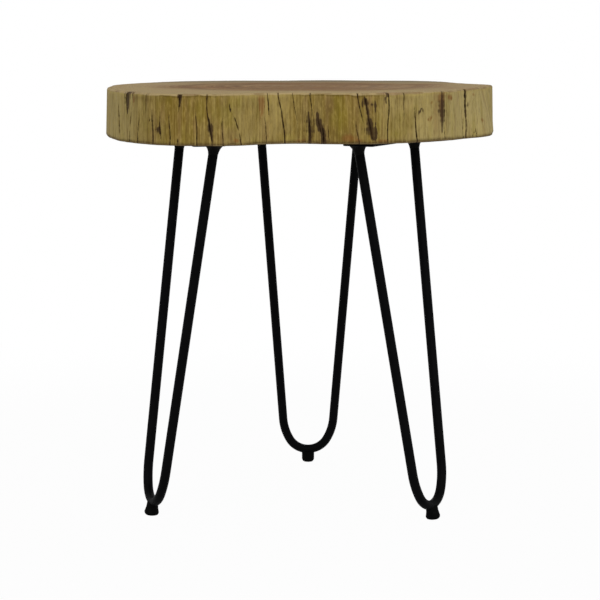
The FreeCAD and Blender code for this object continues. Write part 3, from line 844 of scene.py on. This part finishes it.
def set_out(edge, grid, rng):
    """Places the grid: x and y on the outline, drawn in square to it by the rounds and the flutes, and growth
    rings that turn from the outline's shape at the edge to circles at the pith."""
    bearing = np.interp(grid["arc"], edge.arc, edge.bearing)
    share = grid["share"][..., None]
    rim = edge.place(bearing, 0.0) * (1 - share) + edge.place(bearing, 1.0) * share
    tangent = np.roll(rim, -1, axis=1) - np.roll(rim, 1, axis=1)
    outward = np.stack([tangent[..., 1], -tangent[..., 0]], axis=-1)
    grid["outward"] = outward / np.linalg.norm(outward, axis=-1, keepdims=True)
    turns = grid["arc"] / edge.girth
    flutes = ripples(turns, FLUTE_CYCLES, rng)
    flutes = flutes + FLUTE_DRIFT * grid["share"] * ripples(turns, FLUTE_CYCLES, rng)
    spoke = rim - grid["outward"] * (grid["inset"] + FLUTE_DEPTH * (1 + flutes))[..., None] - PITH
    reach = np.linalg.norm(spoke, axis=-1)
    mean = reach.mean(axis=1, keepdims=True)
    grid["radius"] = mean * grid["ring"] + (reach - mean) * grid["ring"] ** PITH_ROUNDNESS
    grid["run_in"] = reach - grid["radius"]
    grid["bearing"] = np.arctan2(spoke[..., 1], spoke[..., 0])
    grid["place"] = PITH + spoke * (grid["radius"] / reach)[..., None]


def wall_checks(grid, lines):
    # How deep the checks cut into the wall, and how strongly painted shade darkens them
    above_sole = np.clip(grid["share"] / SOLE_SHARE, 0, 1)
    depth = np.zeros_like(grid["share"])
    dark = np.zeros_like(grid["share"])
    for line in lines:
        distance, half = line.across(grid)
        deepest = np.minimum(2 * half * CHECK_DEPTH, CHECK_DEEPEST) * above_sole
        depth = np.maximum(depth, deepest * np.clip(1 - distance / half, 0, 1))
        shade = np.clip(CHECK_SHADE - distance / half, 0, 1) * np.clip(half / FAINT_CHECK, 0, 1)
        dark = np.maximum(dark, shade)
    return depth, dark


def pith_checks(grid):
    """The same for the star of checks at the pith: each wanders out on a bearing, widest in its middle."""
    depth = np.zeros_like(grid["share"])
    dark = np.zeros_like(grid["share"])
    for angle, start, end, width in PITH_CHECKS:
        turn = (grid["bearing"] - math.radians(angle) + TURN / 2) % TURN - TURN / 2
        wander = PITH_CHECK_WANDER * np.sin(grid["radius"] / PITH_CHECK_BEND + angle)
        distance = np.abs(turn * grid["radius"] + wander)
        along = np.clip((grid["radius"] - start) / (end - start), 0, 1)
        half = np.maximum(width / 2 * np.sin(along * TURN / 2), HAIR)
        shown = np.abs(turn) < PITH_CHECK_SECTOR
        depth = np.maximum(depth, shown * PITH_CHECK_DEPTH * np.clip(1 - distance / half, 0, 1))
        dark = np.maximum(dark, shown * np.clip(CHECK_SHADE - distance / half, 0, 1))
    return depth, dark


def soft_lines(grid, lines):
    """How strongly lines show that lie in the wood: a bell curve across each."""
    shown = np.zeros_like(grid["share"])
    for line in lines:
        distance, half = line.across(grid)
        bell = np.exp(-((distance / half / STAIN_SPREAD) ** 2))
        shown = np.maximum(shown, bell * np.clip(half, 0, 1))
    return shown


def paleness(edge, grid, rng):
    """How pale the wall's wood is: straight lines between the front's tones and random ones at the back."""
    columns, shares = np.array(FRONT_TONES).T
    front, _, _ = edge.find(columns, np.full(len(columns), TONE_ROW))
    start, end = edge.behind()
    back = start + (end - start) * np.linspace(*BACK_TONE_PLACES, BACK_TONES)
    shares = np.concatenate([shares, rng.uniform(*BACK_TONE_SHARES, BACK_TONES)])
    along = np.interp(grid["arc"], np.concatenate([front, back]), shares, period=edge.girth)
    return along * np.ones_like(grid["share"])


def wall_clouds(edge, grid, table, count, rng):
    """How strongly clouds of colour show: bell curves on the wall, a table of them at the front and a count
    of random ones at the back."""
    columns, rows, widths, heights = np.array(table, dtype=float).T
    places, shares, stretch = edge.find(columns, rows)
    places = np.concatenate([places, rng.uniform(*edge.behind(), count) % edge.girth])
    shares = np.concatenate([shares, rng.uniform(0, 1, count)])
    widths = np.concatenate([widths * stretch, rng.uniform(*BACK_CLOUD_WIDTHS, count)])
    heights = np.concatenate([heights, rng.uniform(*BACK_CLOUD_HEIGHTS, count)])
    shown = np.zeros_like(grid["share"])
    for place, share, width, height in zip(places, shares, widths, heights):
        tall = (grid["share"] - share) * (edge.wall_high - edge.wall_low) / height
        shown = np.maximum(shown, np.exp(-(((grid["arc"] - place) / width) ** 2) - tall ** 2))
    return shown


def top_patches(grid, patches):
    """How strongly patches of the sawn top show: a bell curve about each middle."""
    shown = np.zeros_like(grid["share"])
    for x, y, width, length in patches:
        away = (grid["place"] - (x, y)) / (width, length)
        shown = np.maximum(shown, np.exp(-(away ** 2).sum(axis=-1)))
    return shown


def trunk_places(edge, grid):
    """Places on a round trunk of the slab's girth, on which the wood's pattern is drawn so that it follows
    the wall and its fibres stand upright."""
    turn = EDGE_START + TURN * (grid["arc"] - edge.lean(grid["arc"]) * (grid["share"] - 0.5)) / edge.girth
    radius = edge.girth / TURN * grid["ring"] * np.ones_like(grid["share"])
    return np.stack([radius * np.cos(turn), radius * np.sin(turn), grid["height"]], axis=-1) * MM


def slab_marks(edge, grid, dark, streaks, threads, rng):
    """What the finish reads at each point of the grid, by name."""
    everywhere = np.ones_like(dark)
    return {
        "ring": grid["ring"] * everywhere,
        "facing": grid["up"] * everywhere,
        # painted shade and a painted highlight under the top edge
        "lip_painted_light": np.clip((grid["share"] - LIP_SHARE) / (1 - LIP_SHARE), 0, 1) * grid["out"],
        # painted shade along the foot of the wall
        "sole_painted_shade": np.clip(1 - grid["share"] / SOLE_SHARE, 0, 1) * grid["out"],
        # painted shade in the checks
        "check": dark,
        "streak": soft_lines(grid, streaks),
        "thread": soft_lines(grid, threads),
        "blush": wall_clouds(edge, grid, FRONT_BLUSH, BACK_BLUSH, rng),
        "lime": wall_clouds(edge, grid, FRONT_LIMES, BACK_LIMES, rng),
        "tone": paleness(edge, grid, rng),
        "smoke": wall_clouds(edge, grid, FRONT_SMOKES, BACK_SMOKES, rng),
        "ember": top_patches(grid, TOP_EMBERS),
        "ash": top_patches(grid, TOP_ASHES),
        "heart": np.linalg.norm((grid["place"] - HEART_MIDDLE) / HEART_REACH, axis=-1),
    }


def slab_piece(finish):
    """The slab: a skin set out along the live edge and closed by a fan to the pith above and below, with the
    checks cut into it and the marks carried on it."""
    rng = np.random.default_rng(WOOD_SEED)
    edge = LiveEdge()
    checks = front_lines(edge, FRONT_CHECKS, rng) + back_lines(edge, *BACK_CHECKS, rng)
    streaks = front_lines(edge, FRONT_STREAKS, rng) + back_lines(edge, *BACK_STREAKS, rng)
    threads = front_lines(edge, FRONT_THREADS, rng) + back_lines(edge, *BACK_THREADS, rng)
    grid = slab_rows(edge, crowded_columns(edge, checks), rng)
    set_out(edge, grid, rng)
    depth, dark = np.maximum(wall_checks(grid, checks), pith_checks(grid))
    place = grid["place"] - grid["outward"] * (grid["out"] * depth)[..., None]
    height = grid["height"] - grid["up"] * depth
    poles = np.array([[*PITH, edge.low], [*PITH, edge.high]])
    points = np.concatenate([np.dstack([place, height]).reshape(-1, 3), poles])
    rows, columns = depth.shape
    first, last = np.arange(columns), np.arange(columns)[::-1] + (rows - 1) * columns
    fans = np.concatenate([fan_faces(first, rows * columns), fan_faces(last, rows * columns + 1)])
    faces = grid_faces(rows, columns).tolist() + fans.tolist()
    piece = new_piece("live_edge_slab", points, faces, finish, "slab")
    for name, values in slab_marks(edge, grid, dark, streaks, threads, rng).items():
        carry(piece, name, np.concatenate([values.ravel(), values[[0, -1], 0]]))
    trunk = trunk_places(edge, grid)
    carry(piece, "trunk", np.concatenate([trunk.reshape(-1, 3), trunk[[0, -1]].mean(axis=1)]))


# Welds


def weld_bead(end, direction):
    """One bead as rows round a rod's end: a quadratic curve from the toe on the rod to the toe on the plate,
    drawn into the corner between them and rippled, and two rows inside the rod that close the bead behind."""
    turn = np.linspace(0, TURN, WELD_COLUMNS, endpoint=False)
    level = np.stack([np.cos(turn), np.sin(turn), 0 * turn], axis=-1)
    square = level - np.outer(level @ direction, direction)
    square /= np.linalg.norm(square, axis=-1, keepdims=True)
    plate_toe = end + (ROD_RADIUS + WELD_TOE) * level
    rod_toe = end + WELD_DROP * direction + ROD_RADIUS * square
    corner = WELD_HOLLOW * (end + ROD_RADIUS * level) + (1 - WELD_HOLLOW) * (plate_toe + rod_toe) / 2
    share = np.linspace(0, 1, WELD_ROWS)[:, None, None]
    bead = (1 - share) ** 2 * rod_toe + 2 * share * (1 - share) * corner + share ** 2 * plate_toe
    scallop = np.abs(np.sin(WELD_RIPPLES / 2 * (turn + WELD_RIPPLE_LEAN * share[..., 0])))
    bead = bead + WELD_RIPPLE_HEIGHT * (scallop * np.sqrt(share[..., 0]))[..., None] * level
    sunk = ROD_RADIUS - WELD_SUNK
    behind = [end + sunk * level, end + WELD_DROP * direction + sunk * square]
    return np.concatenate([bead, behind])


def weld_piece(leg, finish):
    """A leg's two beads. Each follows its rod's direction, from the cut end to the next ring of vertices."""
    rod = node_points(leg + "_hairpin_rod")
    cut = rod[:, 2] > rod[:, 2].max() - RING_TOLERANCE
    middle = rod[cut].mean(axis=0)
    along = np.linalg.svd(rod[cut] - middle)[2][0]
    beads, faces = [], []
    for side in (-1, 1):
        on_side = side * ((rod - middle) @ along) > 0
        end = rod[cut & on_side]
        lower = rod[~cut & on_side]
        next_ring = lower[np.argsort(lower[:, 2])[-len(end):]]
        direction = next_ring.mean(axis=0) - end.mean(axis=0)
        bead = weld_bead(end.mean(axis=0), direction / np.linalg.norm(direction))
        faces.append(grid_faces(*bead.shape[:2], loop=True) + sum(len(made) for made in beads))
        beads.append(bead.reshape(-1, 3))
    points, faces = np.concatenate(beads), np.concatenate(faces).tolist()
    new_piece(leg + "_weld_beads", points, faces, finish, leg + "_plate_welds")


# Studio


def seen(start):
    """1 where the camera, a reflection or glass looks at the studio, 0 where it only lights the object."""
    direct, mirrored, through_glass = (
        start.node("ShaderNodeLightPath", output=kind)
        for kind in ("Is Camera Ray", "Is Glossy Ray", "Is Transmission Ray"))
    return direct.larger(mirrored).larger(through_glass)


def floor():
    """A pale floor that keeps the object's shadow and turns to plain white further out."""
    corners = np.array([[-1, -1, 0], [1, -1, 0], [1, 1, 0], [-1, 1, 0]]) * FLOOR_HALF
    mesh = bpy.data.meshes.new("floor")
    mesh.from_pydata(corners.tolist(), [], [(0, 1, 2, 3)])
    material = bpy.data.materials.new("floor")
    material.use_nodes = True
    tree = material.node_tree
    start = Socket(tree)
    coords = start.node("ShaderNodeTexCoord", output="Object")
    distance = start.node("ShaderNodeVectorMath", {"operation": "LENGTH"}, {0: coords}, output="Value")
    plain = FLOOR_WHITE + (1 - FLOOR_WHITE) * rise(distance, *FLOOR_FADE)
    paint = start.node("ShaderNodeBsdfDiffuse", {}, {"Color": FLOOR_COLOUR})
    white = start.node("ShaderNodeEmission", {}, {"Color": WHITE, "Strength": 1.0})
    mixed = start.node("ShaderNodeMixShader", {}, {0: seen(start) * plain, 1: paint, 2: white})
    tree.links.new(mixed.output, tree.nodes["Material Output"].inputs["Surface"])
    mesh.materials.append(material)
    made = bpy.data.objects.new("floor", mesh)
    bpy.context.scene.collection.objects.link(made)


def sky():
    """An even sky that shows as white."""
    world = bpy.data.worlds.new("sky")
    world.use_nodes = True
    background = world.node_tree.nodes["Background"]
    background.inputs["Color"].default_value = WHITE
    shown = seen(Socket(world.node_tree))
    strength = shown + (1 - shown) * SKY_LEVEL
    world.node_tree.links.new(strength.output, background.inputs["Strength"])
    bpy.context.scene.world = world


def lamp(name, place, size, power):
    """A square soft box that faces the slab."""
    data = bpy.data.lights.new(name, "AREA")
    data.size = size
    data.energy = power
    made = bpy.data.objects.new(name, data)
    made.location = place
    made.rotation_euler = (Vector(LAMP_AIM) - Vector(place)).to_track_quat("-Z", "Y").to_euler()
    bpy.context.scene.collection.objects.link(made)


def camera():
    """The photograph's camera: level across, looking along +Y and pitched down."""
    data = bpy.data.cameras.new("camera")
    data.sensor_width = SENSOR_WIDTH
    data.lens = FOCAL_PIXELS * SENSOR_WIDTH / PHOTO_SIZE
    made = bpy.data.objects.new("camera", data)
    made.location = CAMERA_PLACE * MM
    made.rotation_euler = (TURN / 4 - CAMERA_PITCH, 0, 0)
    bpy.context.scene.collection.objects.link(made)
    bpy.context.scene.camera = made


def dress():
    """Makes the pieces, gives the CAD nodes their finishes and sets up the studio."""
    coat = new_finish("satin_black_coat", {"Specular IOR Level": 0.025}, powder_coat)
    blackened = new_finish("blackened_screw", {"Specular IOR Level": 0.3, "Metallic": 0.6}, black_screw)
    steel = new_finish("bare_steel", {"Metallic": 1.0}, bare_steel)
    moulded = new_finish("black_rubber", {"Specular IOR Level": 0.03}, rubber)
    weld = new_finish("painted_weld", {"Specular IOR Level": 0.03}, painted_weld)
    kept = {"hairpin_rod": coat, "mounting_plate": coat, "plate_screws": blackened, "foot_stud": steel,
            "foot_weld": steel, "rubber_foot": moulded}
    for leg in LEGS:
        weld_piece(leg, weld)
        for kind, finish in kept.items():
            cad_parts[leg + "_" + kind].material_slots[0].material = finish
    slab_piece(new_finish("live_edge_wood", {"Specular IOR Level": 0.05}, wood))
    floor()
    sky()
    lamp("key", *KEY_LAMP)
    lamp("fill", *FILL_LAMP)
    lamp("top", *TOP_LAMP)
    camera()
    bpy.context.scene.view_settings.view_transform = "Standard"


dress()
